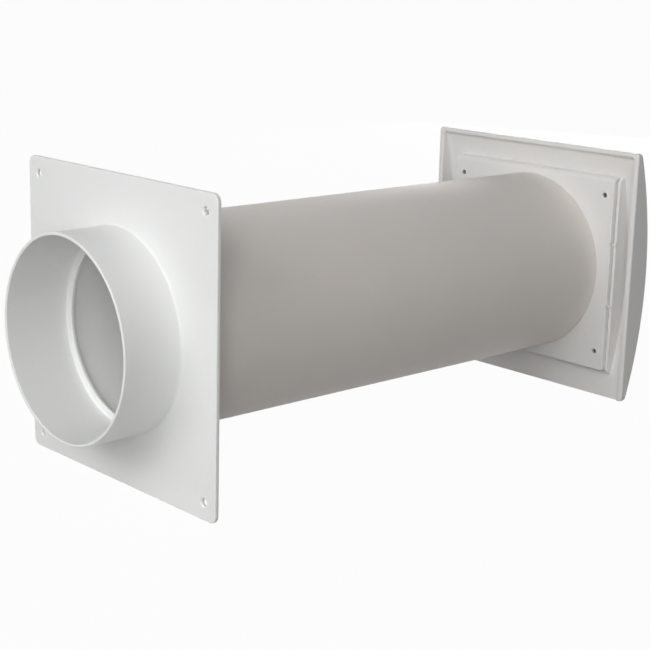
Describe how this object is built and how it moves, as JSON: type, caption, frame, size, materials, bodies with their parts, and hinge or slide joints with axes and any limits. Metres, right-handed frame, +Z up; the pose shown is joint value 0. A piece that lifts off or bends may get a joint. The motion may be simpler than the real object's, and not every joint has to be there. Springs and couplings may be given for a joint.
{
  "type": "wall vent sleeve",
  "caption": "Through-wall vent sleeve: square inner plate with round duct spigot, plain tube, outer base plate and bowed weather cowl.",
  "frame": {"origin": "on the tube's axis, at the wall face of the inner plate, where its screw pattern is centred", "axes": "+Y along the tube from the room to the outside, +Z up, +X to the right seen from the room"},
  "size_m": [0.1876, 0.4243, 0.186],
  "materials": {
    "plate_white": "satin moulded white plastic",
    "tube_white": "satin extruded off-white plastic",
    "cowl_white": "satin moulded white plastic"
  },
  "bodies": {
    "root": {"inner_plate": "plate_white", "wall_tube": "tube_white", "outer_base_plate": "cowl_white", "outer_cowl": "cowl_white"}
  },
  "joints": []
}
